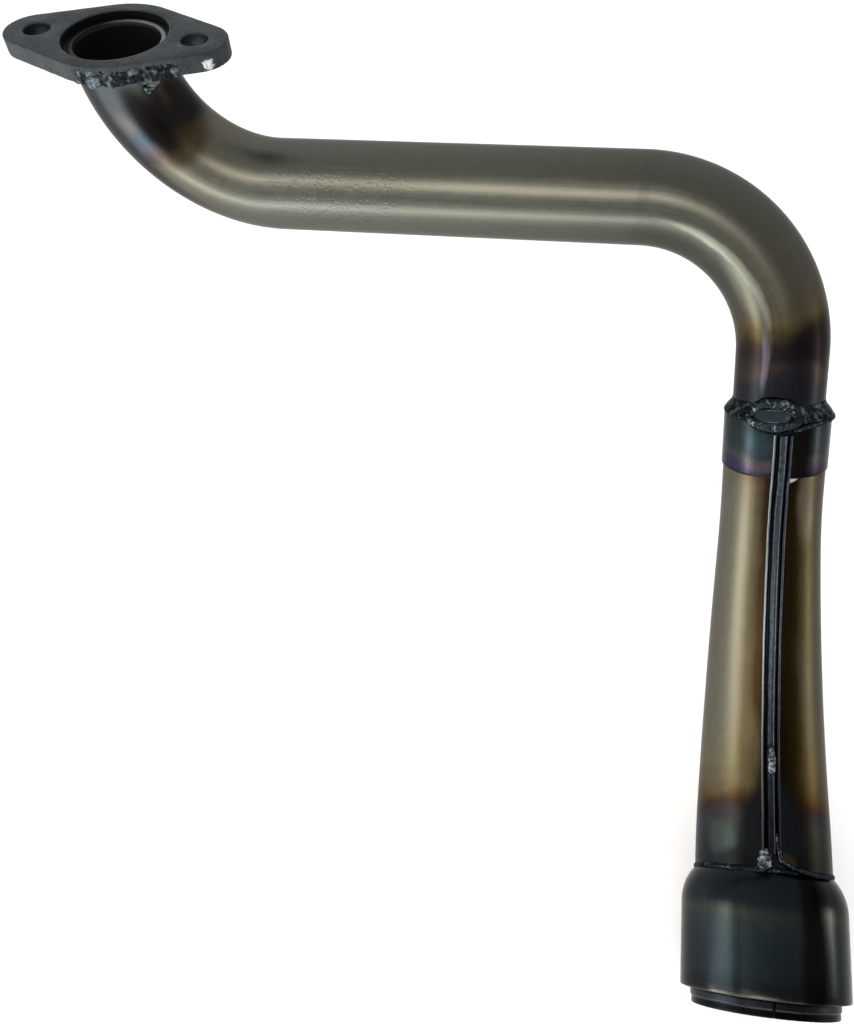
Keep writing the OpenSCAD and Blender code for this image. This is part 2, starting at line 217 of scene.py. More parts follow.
class HEADER_PG_cup(bpy.types.PropertyGroup):
    outer_d: length("Outside diameter", "Outside diameter of the end cup", 0.057)
    wall: length("Wall", "Wall of the end cup", 0.0015)
    gap: length("Start", "Length from the cone's curve to the cup", 0.003)
    straight: length("Straight", "Length of the cup's straight part", 0.027)
    shoulder_r: length("Shoulder", "Radius of the rounded shoulder", 0.016)
    spigot_d: length("Spigot", "Outside diameter of the muffler spigot", 0.0501)
    spigot_wall: length("Spigot wall", "Wall of the muffler spigot", 0.00145)
    spigot_out: length("Spigot stand-out", "How far the spigot stands out of the cup", 0.0052)


class HEADER_PG_finish(bpy.types.PropertyGroup):
    plate: colour("Plate", "Mill scale of the flange plate", "#2d3336")
    # Near-black for soot and painted shade inside the pipe, and painted shade in the spigot's slit, the flange's
    # recess and holes and on the tube end's shadowed side
    soot: colour("Soot", "Inside of the pipe", "#050505")
    weld_trough: colour("Weld trough", "Burnt troughs between the ripples", "#1d2326")
    weld_crest: colour("Weld crest", "Bright crests of the ripples", "#8c9291")
    floor: colour("Floor", "Floor and backdrop", "#fafafa")


# Centreline of the pipe

class Centreline:
    """Places along the pipe, read from a table of points with their directions."""

    def __init__(self, scene):
        tube, cone = scene.header_tube, scene.header_cone
        seam_side = math.pi / 2 - tube.bend2_swing
        above_cone = [(scene.header_flange.thickness, 0.0, 0.0),
                      (tube.bend1_r * tube.bend1_turn, tube.bend1_turn, 0.0),
                      (tube.run, 0.0, 0.0),
                      (tube.bend2_r * tube.bend2_turn, tube.bend2_turn, math.pi - tube.bend2_swing),
                      (tube.drop + cone.sleeve_len, 0.0, 0.0)]
        self.start = s = -sum(part[0] for part in above_cone)
        point, along, side = np.zeros(3), np.array([0.0, 0.0, -1.0]), np.array([1.0, 0.0, 0.0])
        rows = []
        for size, turned, inward in above_cone + [(cone.arc, cone.curve, seam_side), (FAR_END, 0.0, 0.0)]:
            steps = max(2, int(math.ceil(size / TABLE_STEP)))
            for f in np.linspace(0, 1, steps + 1)[:-1]:
                rows.append((s + f * size,) + self.moved(point, along, side, size, turned, inward, f))
            point, along, side = self.moved(point, along, side, size, turned, inward, 1.0)
            s += size
        rows.append((s, point, along, side))
        self.s, self.point, self.along, side = (np.array(column) for column in zip(*rows))
        self.seam = math.cos(seam_side) * side + math.sin(seam_side) * np.cross(self.along, side)
        self.right = np.cross(self.seam, self.along)

    @staticmethod
    def moved(point, along, side, size, turned, inward, f):
        """The place a fraction f along one stretch, straight or bent."""
        if turned == 0.0:
            return point + f * size * along, along, side
        radius, angle = size / turned, f * turned
        to_middle = math.cos(inward) * side + math.sin(inward) * np.cross(along, side)
        across = np.cross(along, to_middle)
        point = point + radius * (math.sin(angle) * along + (1 - math.cos(angle)) * to_middle)
        along_now = math.cos(angle) * along + math.sin(angle) * to_middle
        middle_now = math.cos(angle) * to_middle - math.sin(angle) * along
        return point, along_now, math.cos(inward) * middle_now - math.sin(inward) * across

    def at(self, s, r, a):
        """Points at length s, radius r and angle a, all arrays of one shape."""
        point, seam, right, along = (np.stack([np.interp(s, self.s, table[:, k]) for k in range(3)], -1)
                                     for table in (self.point, self.seam, self.right, self.along))
        before = np.minimum(s - self.start, 0.0)[..., None]
        return (point + before * along
                + r[..., None] * (np.cos(a)[..., None] * seam + np.sin(a)[..., None] * right))


def cone_radius(s):
    """Outer radius of the cone: straight, flared with blended ends, then straight."""
    cone = bpy.context.scene.header_cone

    def ramp(x):
        blend = cone.flare_blend
        return np.where(x < -blend, 0, np.where(x > blend, x, (x + blend) ** 2 / (4 * blend)))
    flare_to = cone.arc - cone.flare_stop
    slope = (cone.outlet_d - cone.inlet_d) / 2 / (flare_to - cone.flare_from)
    return cone.inlet_d / 2 + slope * (ramp(s - cone.flare_from) - ramp(s - flare_to))


def ground(s):
    """Outer radius of what a weld lies on, from the tube over the sleeve to the cone."""
    cone = bpy.context.scene.header_cone
    tube_r, sleeve_r, inlet_r = bpy.context.scene.header_tube.outer_d / 2, cone.sleeve_d / 2, cone.inlet_d / 2
    on_tube = np.interp(s, [-cone.sleeve_len - FILLET, -cone.sleeve_len], [tube_r, sleeve_r])
    on_cone = np.maximum(cone_radius(s), inlet_r + (sleeve_r - inlet_r) * (1 - s / STEP_BLEND))
    return np.where(s < 0, on_tube, on_cone)


def cup_places(scene):
    """The radius of the cup's mouth, and where its shoulder starts, its straight part starts and it ends."""
    cone, cup = scene.header_cone, scene.header_cup
    mouth = cone.outlet_d / 2 + ROOM
    start = cone.arc + cup.gap
    rise = cup.outer_d / 2 - mouth
    straight = start + math.sqrt(cup.shoulder_r ** 2 - (cup.shoulder_r - rise) ** 2)
    return mouth, start, straight, straight + cup.straight


# Mesh helpers

def finish_piece(name, points, faces, attributes, material, nodes, flat_deg=35):
    """Makes the piece's object, smooths it and lets it stand for the CAD nodes."""
    mesh = bpy.data.meshes.new(name)
    mesh.from_pydata([tuple(p) for p in points], [], faces)
    mesh.validate()
    for key, values in attributes.items():
        values = np.asarray(values, np.float32)
        kind, field = ("FLOAT_VECTOR", "vector") if values.ndim == 2 else ("FLOAT", "value")
        mesh.attributes.new(key, kind, "POINT").data.foreach_set(field, values.ravel())
    mesh.materials.append(MATERIALS[material])
    clean(mesh, flat_deg)
    piece = bpy.data.objects.new(name, mesh)
    bpy.context.scene.collection.objects.link(piece)
    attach(piece, "root")
    if nodes:
        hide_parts(*nodes)


def clean(mesh, flat_deg):
    """Joins doubled points, turns the faces outwards and smooths all edges but the sharp ones."""
    made = bmesh.new()
    made.from_mesh(mesh)
    bmesh.ops.remove_doubles(made, verts=made.verts, dist=1e-7)
    bmesh.ops.recalc_face_normals(made, faces=made.faces)
    for face in made.faces:
        face.smooth = True
    for edge in made.edges:
        if len(edge.link_faces) == 2 and edge.calc_face_angle(0) > math.radians(flat_deg):
            edge.smooth = False
    made.to_mesh(mesh)
    made.free()


def loop_faces(rows, columns, closed, first=0):
    """Quads over a grid whose rows are loops of points. The last row joins the first if closed is
    set, and otherwise a cap closes each end."""
    faces = []
    for i in range(rows if closed else rows - 1):
        for j in range(columns):
            here, there, across = first + i * columns, first + ((i + 1) % rows) * columns, (j + 1) % columns
            faces.append((here + j, here + across, there + across, there + j))
    if not closed:
        faces.append(tuple(range(first, first + columns))[::-1])
        faces.append(tuple(range(first + (rows - 1) * columns, first + rows * columns)))
    return faces


def on_pipe(name, s, r, a, value, values, material, nodes, closed=True, flat_deg=35):
    """Makes a piece from a grid of places on the pipe, with values of its own under the name value.
    Its unbent attribute is the place on the straightened pipe, which tints and patterns follow."""
    s, r, a, values = np.broadcast_arrays(s, r, a, values)
    unbent = np.stack([s, r * np.cos(a), r * np.sin(a)], -1)
    finish_piece(name, LINE.at(s, r, a).reshape(-1, 3), loop_faces(*s.shape, closed),
                 {"unbent": unbent.reshape(-1, 3), value: values.ravel()}, material, nodes, flat_deg)


def angles(count):
    return np.linspace(-math.pi, math.pi, count, endpoint=False)


def wall_corner(s, r, s_in, r_in, soot, to_end=False):
    """A wall's rounded corner at (s, r). s_in and r_in are the edge's radius, signed the way into
    the metal. The points go away from the wall's end, or towards it."""
    swings = [(1 - math.cos(q), 1 - math.sin(q)) for q in np.linspace(0, math.pi / 2, 4)]
    return [(s + s_in * x, r + r_in * y, soot) for x, y in (swing[::-1] if to_end else swing for swing in swings)]


def wall_section(s, outer, inner, edge):
    """Section of a tube's wall as a closed loop of s, r and darkening, with rounded ends. The inside
    is darkened fully, for soot and painted shade.
    """
    outer, inner = np.broadcast_to(outer, s.shape), np.broadcast_to(inner, s.shape)
    core = s[(s > s[0] + edge) & (s < s[-1] - edge)]
    top, low = np.interp(core, s, outer), np.interp(core, s, inner)
    return np.array(wall_corner(s[0], outer[0], edge, -edge, 0.0)
                    + [(x, y, 0.0) for x, y in zip(core, top)]
                    + wall_corner(s[-1], outer[-1], -edge, -edge, 0.0, to_end=True)
                    + wall_corner(s[-1], inner[-1], -edge, edge, 0.35)
                    + [(x, y, 1.0) for x, y in zip(core[::-1], low[::-1])]
                    + wall_corner(s[0], inner[0], edge, edge, 0.35, to_end=True))


def turned(name, section, count, material, nodes, slot):
    """A closed section of s, r and darkening (soot and painted shade) carried round the pipe."""
    s, r, soot = section.T[:, :, None]
    on_pipe(name, s, r, angles(count), "soot", soot, material, nodes)


# Weld beads

def wander(x, seed):
    """A smooth unevenness between -1 and 1 along a bead, the same on each run."""
    return (np.sin(x * 1.0 + seed) + 0.6 * np.sin(x * 2.3 + seed * 1.7) + 0.4 * np.sin(x * 5.1 + seed * 0.6)) / 2


def scallop(travel, across):
    """Height of the ripples, 0 to 1: each one is a crescent that the next overlaps."""
    phase = (travel / RIPPLE + 0.9 * across ** 2) % 1.0
    return np.clip(1.25 - phase, 0, 1) * np.clip(phase / 0.18, 0, 1)


def bead(name, path, width, height, seed, nodes, base=ground, closed=False, metal="weld", uneven=1.0, painted_shine=None):
    """A rippled weld bead along places (s, a). base gives the radius of the metal under it,
    and the painted shine how bright the crests are at each fraction of its length, which paints
    highlights along the bead."""
    path = np.array(path + path[:1] if closed else path)
    keys = np.arange(len(path))
    fine = np.linspace(0, keys[-1], PATH_SAMPLES)
    line = np.stack([np.interp(fine, keys, path[:, k]) for k in range(2)], -1)
    for _ in range(PATH_SMOOTHING):
        line = np.vstack([line[:1], (line[2:] + line[:-2] + 2 * line[1:-1]) / 4, line[-1:]])
    flat = np.stack([line[:, 0], line[:, 1] * base(line[:, 0])], -1)
    travel = np.concatenate([[0], np.cumsum(np.linalg.norm(np.diff(flat, axis=0), axis=1))])
    t = np.linspace(0, travel[-1], max(8, int(travel[-1] / BEAD_STEP)), endpoint=not closed)
    s, y = np.interp(t, travel, flat[:, 0]), np.interp(t, travel, flat[:, 1])
    ds, dy = np.gradient(s), np.gradient(y)
    size = np.hypot(ds, dy)
    x = np.linspace(-1, 1, BEAD_POINTS)[None, :]
    s, y, t, to_s, to_y = (column[:, None] for column in (s, y, t, -dy / size, ds / size))
    ends = 1.0 if closed else np.sqrt(np.clip(np.minimum(t, t[-1] - t) / (0.9 * width / 2), 0.02, 1))
    half = width / 2 * (1 + 0.16 * uneven * wander(t / (3 * MM), seed)) * ends
    ripples = scallop(t + 0.5 * MM * wander(t / (2.6 * MM), seed + 8), x)
    crown = np.sqrt(np.clip(1 - x ** 2, 0, 1))
    lumps = wander(t / (1.3 * MM) + 2.2 * x, seed) * wander(t / (2.1 * MM) - 1.7 * x, seed + 5)
    swell = 1 + uneven * (0.22 * wander(t / (4 * MM), seed + 3) + 0.3 * lumps)
    up = height * crown * swell * ends * (1 - 0.2 * uneven * (1 - ripples))
    wide_s, wide_a = s + to_s * half * x, (y + to_y * half * x) / base(s)
    below = base(wide_s)
    crest = np.clip(0.55 * ripples + 0.45 * lumps, 0, 1) * crown
    if painted_shine:
        crest = np.clip(crest * painted_shine(t / travel[-1]), 0, 1)
    on_pipe(name, and_back(wide_s, wide_s), and_back(below - SINK + up + SINK * crown, below - SINK - FUSED),
            and_back(wide_a, wide_a), "crest", and_back(crest, 0 * crest), metal, nodes, closed, 50)


def and_back(over, under):
    """Rows that go across the top of a bead and come back under it."""
    return np.concatenate([over, under[:, ::-1]], 1)


def ring(place):
    """A path round the pipe, with place giving s at each angle."""
    return [(place(a), a) for a in angles(48)]


def path_mm_deg(*places):
    return [(s * MM, math.radians(a)) for s, a in places]


# Materials

def pipe_places(add):
    """Nodes that give the unbent place, s and the angle round the pipe."""
    place = add("Attribute", attribute_name="unbent").outputs["Vector"]
    parts = add("SeparateXYZ", (place,)).outputs
    return place, parts[0], add("Math", (parts[2], parts[1]), operation="ARCTAN2")


def tinted_steel(name, along, around_tint_and_light, roughness, wobble_mm=7.0, streak=0.10, stains_and_painted_light=(), pitted=None):
    """Bare steel with heat tints and painted light. along is (s in mm, colour), the tint by angle round the pipe is
    (degrees, tint), partly heat tint and partly painted light and shade on each side, and each stain or patch of
    painted light is (s and half length in mm, angle and half angle in degrees, colour, strength).
    pitted is (s and half length in mm) of a stretch with small knocks in its face."""
    material, add = new_material(name)
    place, s, angle = pipe_places(add)
    blotch = add("TexNoise", {"Vector": place, "Scale": 1 / (22 * MM), "Detail": 3.0})
    wobble = add("Math", (blotch, 0.5), operation="SUBTRACT")
    shifted = add("Math", (wobble, wobble_mm * 2 * MM, s), operation="MULTIPLY_ADD")
    swung = add("Math", (wobble, 0.25, angle), operation="MULTIPLY_ADD")
    low, high = along[0][0] * MM, along[-1][0] * MM
    tint = add("ValToRGB", (add("MapRange", (shifted, low, high)),))
    fill_ramp(tint, [((p * MM - low) / (high - low), c) for p, c in along])
    # Colour by angle round the pipe: heat tint, and painted light and shade on each side
    side = add("ValToRGB", (add("MapRange", (swung, -math.pi, math.pi)),))
    fill_ramp(side, [((p + 180) / 360, c) for p, c in around_tint_and_light])
    stained_and_painted = add("Mix", {0: 1.0, 6: tint, 7: side}, data_type="RGBA", blend_type="MULTIPLY")
    # Stains, and patches of painted highlight and shade, each faded out round its middle
    for s_at, s_half, a_at, a_half, stain_and_light_colour, strength in stains_and_painted_light:
        off = add("Math", (shifted, 1 / (s_half * MM), -s_at / s_half), operation="MULTIPLY_ADD")
        off_angle = add("Math", (swung, math.radians(a_at)), operation="SUBTRACT")
        wrapped = add("Math", (off_angle, math.pi, -math.pi), operation="WRAP")
        across = add("Math", (wrapped, math.radians(a_half)), operation="DIVIDE")
        away = add("VectorMath", (add("CombineXYZ", (off, across)),), operation="LENGTH")
        mask = add("MapRange", (away, 0.45, 1.15, strength, 0.0), interpolation_type="SMOOTHSTEP")
        stained_and_painted = add("Mix", {0: mask, 6: stained_and_painted, 7: linear(stain_and_light_colour)}, data_type="RGBA")
    # Drawing and rolling leave fine lines along the pipe, 0.5 mm apart so that they show
    drawn = add("VectorMath", (place, (1 / (30 * MM), 1 / (0.5 * MM), 1 / (0.5 * MM))), operation="MULTIPLY")
    lines = add("TexNoise", {"Vector": drawn, "Scale": 1.0, "Detail": 4.0})
    grit = add("TexNoise", {"Vector": place, "Scale": 1 / (2.5 * MM), "Detail": 6.0, "Roughness": 0.65})
    mottle = add("Math", (lines, grit), operation="ADD")
    shade = add("MapRange", (mottle, *MOTTLED, 1 - streak, 1 + streak))
    worn = add("VectorMath", {0: stained_and_painted, "Scale": shade}, operation="SCALE")
    # Near-black, rough and not metallic inside the pipe: soot and painted shade
    soot = add("Attribute", attribute_name="soot").outputs["Fac"]
    sooted_and_shaded = add("Mix", {0: soot, 6: worn, 7: finish("soot")}, data_type="RGBA")
    metallic = add("Math", (1.0, soot), operation="SUBTRACT")
    rough = add("MapRange", (mottle, *MOTTLED, roughness - 0.06, roughness + 0.06))
    dull = add("Math", (soot, 0.5, rough), operation="MULTIPLY_ADD")
    height = mottle
    if pitted:
        knocks = add("TexNoise", {"Vector": place, "Scale": 1 / (1.3 * MM), "Detail": 1.0})
        dents = add("MapRange", (knocks, 0.55, 0.75, 0.0, -6.0))
        off = add("Math", (shifted, pitted[0] * MM), operation="SUBTRACT")
        away = add("Math", (off,), operation="ABSOLUTE")
        within = add("MapRange", (away, 0.5 * pitted[1] * MM, pitted[1] * MM, 1.0, 0.0))
        height = add("Math", (dents, within, mottle), operation="MULTIPLY_ADD")
    bump = add("Bump", {"Height": height, "Strength": 0.16, "Distance": 0.06 * MM})
    shader = add("BsdfPrincipled", {"Base Color": sooted_and_shaded, "Metallic": metallic, "Roughness": dull, "Normal": bump,
                                    "Specular IOR Level": 0.15, "Specular Tint": linear("#d2d2d2")})
    add("OutputMaterial", (shader,))
    return material


def cold_drawn_tube():
    """Cold-drawn mild steel with its mill finish: satin, grey-green, with lines along the tube.
    Welding heat burnt it dark at both ends, with brown and a blue sheen where that fades."""
    along = [(-333, "#40464a"), (-318, "#45494b"), (-309, "#484847"), (-304, "#44464a"), (-300, "#474b50"),
             (-296, "#4e4c4b"), (-290, "#57554b"), (-282, "#5c5a51"), (-262, "#5a5c56"), (-180, "#585a53"),
             (-100, "#4d4f49"), (-66, "#484640"), (-56, "#494234"), (-51, "#3f3722"), (-47, "#2a2320"),
             (-43, "#221f20"), (-37, "#302a27"), (-30, "#202226"), (-20, "#1e2226")]
    # The tint by angle is painted light and shade: lightest at -60 degrees, darkest at 20 degrees
    around_tint_and_light = [(-180, "#e8e8e8"), (-60, "#ffffff"), (-20, "#f2f2ee"), (20, "#dcdad4"), (60, "#fafaf8"),
              (180, "#f4f4f4")]
    # The light streaks at s -42, -70, -82 and -152 mm are painted highlights, and the dark band at s -304 mm, -61
    # degrees is painted shade beside the first bend's highlight
    stains_and_painted_light = [(-305, 17, 38, 62, "#120f0c", 0.9), (-290, 9, 10, 44, "#2f2312", 0.75),
              (-303, 5, -27, 13, "#2c3a42", 0.6), (-296, 5, -32, 17, "#342a2c", 0.55),
              (-318, 9, -25, 20, "#24272a", 0.6), (-306, 19, -6, 19, "#0f0d0c", 0.9),
              (-45, 9, 36, 62, "#100d0e", 0.85), (-32, 9, 10, 34, "#15161a", 0.8),
              (-98, 34, -66, 40, "#3c3e39", 0.5), (-304, 36, -61, 20, "#292b2d", 0.8),
              (-108, 16, -36, 34, "#41423b", 0.6), (-42, 15, -27, 6, "#56525a", 0.6),
              (-43, 7, 74, 26, "#111213", 0.85), (-152, 60, 8, 14, "#66645c", 0.35),
              (-122, 2.2, 0, 60, "#44463f", 0.5), (-70, 15, -35, 15, "#66685b", 0.45),
              (-82, 34, -21, 7, "#7a7c70", 0.6)]
    return tinted_steel("Cold-drawn steel tube", along, around_tint_and_light, 0.34, stains_and_painted_light=stains_and_painted_light, pitted=(-226, 32))


def rolled_sheet():
    """Rolled mild steel sheet, seam welded: straw-coloured and satin, browned along the seam,
    then gold, purple and blue-black towards the end cup. The dark band right of the seam is partly
    heat tint and partly painted dark reflection, and a pale spot under the sleeve's rim is a painted highlight."""
    along = [(-2, "#54493c"), (3, "#625c50"), (14, "#66645a"), (40, "#67655b"), (90, "#666459"), (114, "#666250"),
             (121, "#5c523a"), (126, "#4a3a1e"), (129, "#392622"), (132, "#2b2b38"), (136, "#2f3538"),
             (140, "#2b3032"), (146, "#22282a"), (151, "#1e2427"), (164, "#1e2427")]
    # The tint by angle is partly heat tint beside the seam and partly painted light and shade: lighter on the left,
    # darkest just right of the seam
    around_tint_and_light = [(-180, "#dcdcd6"), (-75, "#e0e0de"), (-48, "#dcdcd8"), (-34, "#ddd8cc"), (-22, "#b4a892"),
              (-14, "#6e5b44"), (0, "#42352a"), (12, "#35281a"), (20, "#4e4022"), (30, "#847a56"), (42, "#968e74"),
              (54, "#a09c8e"), (80, "#b4b4ae"), (180, "#dcdcd6")]
    # The stain at s 60 mm, 17 degrees is partly heat tint and partly painted dark reflection; the pale one at s 1.4
    # mm is a painted highlight under the sleeve's rim
    stains_and_painted_light = [(138, 24, 4, 30, "#131618", 0.9), (60, 60, 17, 12, "#1d140a", 0.6),
              (1.4, 1.6, 14, 11, "#c4b8b4", 0.9), (12, 16, 35, 13, "#5d564a", 0.5),
              (147.5, 2.8, 13, 9, "#3a2e12", 0.4), (133, 7, -42, 24, "#33302c", 0.5),
              (141, 6, -42, 18, "#3c4443", 0.5), (121, 7, -46, 34, "#544f3e", 0.6),
              (108, 20, -18, 12, "#48442f", 0.45), (85, 22, 38, 11, "#3a372c", 0.5)]
    return tinted_steel("Rolled steel sheet", along, around_tint_and_light, 0.35, stains_and_painted_light=stains_and_painted_light)


def blued_sleeve():
    """Turned steel collar, burnt by the welds on both its ends: blue-black with teal and purple,
    and a near-black band right of the seam that is partly heat tint and partly painted dark reflection.
    """
    along = [(-25, "#20262a"), (-18, "#22272a"), (-13, "#252b2e"), (-9, "#282d30"), (-6, "#363739"),
             (-4, "#353137"), (-2, "#2c2a36"), (0, "#1c1d22")]
    # The dip from 14 to 27 degrees is partly heat tint beside the seam and partly painted dark reflection
    around_tint_and_light = [(-180, "#dddddd"), (-50, "#ffffff"), (-10, "#e8e8e8"), (14, "#7a7a7a"), (27, "#6a6a6a"),
              (38, "#d8d8d8"), (80, "#e8e8e8"), (180, "#dddddd")]
    # The near-black stain at 21 degrees is partly heat tint and partly painted dark reflection
    stains_and_painted_light = [(-12, 5, -24, 16, "#29373b", 0.8), (-4.5, 3, -20, 22, "#453f41", 0.7),
              (-2.5, 3, -60, 22, "#2b2940", 0.8), (-8, 12, 21, 12, "#100e0c", 0.85)]
    return tinted_steel("Blued steel collar", along, around_tint_and_light, 0.27, 3.0, stains_and_painted_light=stains_and_painted_light)


def blued_cup():
    """Spun steel cup under a glossy blue-black burnt oxide, with a browner band on its shoulder,
    a painted highlight at 43 degrees round it and a painted dark reflection from 22 to 32 degrees.
    """
    along = [(150, "#1f2427"), (156, "#1d2226"), (161, "#202527"), (164, "#303230"), (167, "#282d2e"),
             (174, "#22282c"), (182, "#1f2529"), (186.5, "#1a1d20"), (188.4, "#1c1e20"), (189, "#403e3b"),
             (190, "#403e3b")]
    # The tint by angle paints a dark reflection from 22 to 32 degrees and a highlight at 43 degrees
    around_tint_and_light = [(-180, "#dddddd"), (-50, "#ffffff"), (-30, "#f4faf2"), (-16, "#e8eeea"), (0, "#d0d6d8"),
              (16, "#c8caca"), (22, "#6c6a64"), (32, "#45403a"), (38, "#a8a49a"), (43, "#f0ece2"), (50, "#b4b0a8"),
              (60, "#bcb8b0"), (90, "#e0e0e0"), (180, "#dddddd")]
    # The stain at s 172 mm, 24 degrees deepens the painted dark reflection
    return tinted_steel("Blued spun steel", along, around_tint_and_light, 0.25, 2.0, 0.06, [(172, 20, 24, 10, "#0d0c0a", 0.75)])


def blued_spigot():
    """Bent-up sheet pipe, blue-grey where the fire spared it, near-black as painted shadow just under
    the cup's rim, with a painted lit band ending in a pale line at its step and painted shade after it.
    """
    # Painted shadow up to 189.6 mm under the cup's rim, a painted lit band up to the step at 192 mm, then painted
    # shade
    along = [(186, "#0b0c0d"), (189.6, "#0c0d0f"), (190.3, "#262b30"), (191.6, "#282d33"), (192.0, "#505252"),
             (192.3, "#14161a"), (193.4, "#0e0f11"), (194.1, "#1c1c1c"), (196, "#26241f")]
    # The tint by angle is painted light and shade: darkest at 20 degrees, lightest from 40 to 60 degrees
    around_tint_and_light = [(-180, "#dddddd"), (-60, "#ffffff"), (-30, "#b0b0b0"), (0, "#a8a4a0"), (20, "#948a7c"),
              (40, "#c8c0b0"), (60, "#e0d8c8"), (180, "#dddddd")]
    return tinted_steel("Blued spigot steel", along, around_tint_and_light, 0.3, 0.4, 0.08)


def weld_metal(name, dark, bright, share):
    """Hand-laid arc weld: glassy dark slag in the troughs and bare crests on some of the ripples.
    share is how much of the bead is bare, from 0 to 1."""
    material, add = new_material(name)
    place = add("Attribute", attribute_name="unbent").outputs["Vector"]
    # The crest value: ripple crests, scaled along some beads by painted highlights
    crest = add("Attribute", attribute_name="crest").outputs["Fac"]
    patchy = add("TexNoise", {"Vector": place, "Scale": 1 / (2.4 * MM), "Detail": 4.0, "Roughness": 0.65})
    lit = add("Math", (patchy, 3.2, share * 1.6 - 2.4), operation="MULTIPLY_ADD")
    level = add("Math", (crest, 0.75, lit), operation="MULTIPLY_ADD", use_clamp=True)
    mixed = add("Mix", {0: level, 6: dark, 7: bright}, data_type="RGBA")
    grit = add("TexNoise", {"Vector": place, "Scale": 1 / (0.6 * MM), "Detail": 5.0})
    rough = add("MapRange", {"Value": grit, "To Min": 0.18, "To Max": 0.5})
    bump = add("Bump", {"Height": grit, "Strength": 0.5, "Distance": 0.2 * MM})
    shader = add("BsdfPrincipled", {"Base Color": mixed, "Metallic": 1.0, "Roughness": rough, "Normal": bump,
                                    "Specular Tint": linear("#b8b8b8")})
    add("OutputMaterial", (shader,))
    return material


def bare_weld():
    """The patch and the beads that were laid last: dark slag with silver where it has flaked off."""
    return weld_metal("Arc weld metal", finish("weld_trough"), finish("weld_crest"), 0.24)


def silver_weld():
    """Drops and short tacks, clean enough to stay silver on most of their crests."""
    return weld_metal("Silver weld metal", finish("weld_trough"), linear("#8a908f"), 0.5)


def flat_weld():
    """The flat middle of the patch, ground or melted smooth: blue-grey with few bright specks."""
    return weld_metal("Flattened weld metal", linear("#30373c"), linear("#6f787b"), 0.28)


def burnt_weld():
    """The beads under the flange and round the sleeve: burnt as dark as the steel beside them."""
    return weld_metal("Burnt weld metal", linear("#14171a"), linear("#565e63"), 0.4)


def seam_steel():
    """Sheet edges folded up and burnt by the seam weld: grey worn lips, a blue-black rod between
    them, and near-black grooves as painted shadow. The right lip is dimmer and the rod lighter on
    its right, as painted shade and light."""
    material, add = new_material("Burnt seam steel")
    place, s, _angle = pipe_places(add)
    crest = add("Attribute", attribute_name="crest").outputs["Fac"]
    grit = add("TexNoise", {"Vector": place, "Scale": 1 / (1.6 * MM), "Detail": 5.0})
    worn = add("Math", (grit, 0.5, -0.25), operation="MULTIPLY_ADD")
    tint = add("ValToRGB", (add("Math", (crest, worn), operation="ADD"),))
    fill_ramp(tint, [(0.0, "#070a0c"), (0.25, "#14191c"), (0.5, "#32373f"), (0.72, "#4c5153"), (1.0, "#61666a")])
    fade = add("MapRange", (s, 60 * MM, 140 * MM, 1.0, 0.2))
    faded = add("VectorMath", {0: tint, "Scale": fade}, operation="SCALE")
    bump = add("Bump", {"Height": grit, "Strength": 0.35, "Distance": 0.15 * MM})
    shader = add("BsdfPrincipled", {"Base Color": faded, "Metallic": 1.0, "Roughness": 0.3, "Normal": bump})
    add("OutputMaterial", (shader,))
    return material


def cut_tube_end():
    """The tube's sawn end, pale grey with fine turning marks, darkened by painted shadow except on
    its side towards +X and +Y.
    """
    material, add = new_material("Faced tube end")
    place = add("Attribute", attribute_name="unbent").outputs["Vector"]
    marks = add("TexNoise", {"Vector": place, "Scale": 1 / (0.7 * MM), "Detail": 4.0})
    shade = add("MapRange", {"Value": marks, "To Min": 0.5, "To Max": 0.85})
    grey = add("VectorMath", {0: linear("#a2a4a2")[:3], "Scale": shade}, operation="SCALE")
    where = add("TexCoord").outputs["Object"]
    # Painted shadow in the near-black colour, darkest away from +X and +Y
    towards = add("VectorMath", (where, (0.8, 0.6, 0.0)), operation="DOT_PRODUCT")
    painted_end_shadow = add("MapRange", (towards, -2 * MM, 11 * MM, 0.93, 0.25))
    end = add("Mix", {0: painted_end_shadow, 6: grey, 7: finish("soot")}, data_type="RGBA")
    shader = add("BsdfPrincipled", {"Base Color": end, "Metallic": 0.9, "Roughness": 0.5, "Specular IOR Level": 0.2})
    add("OutputMaterial", (shader,))
    return material


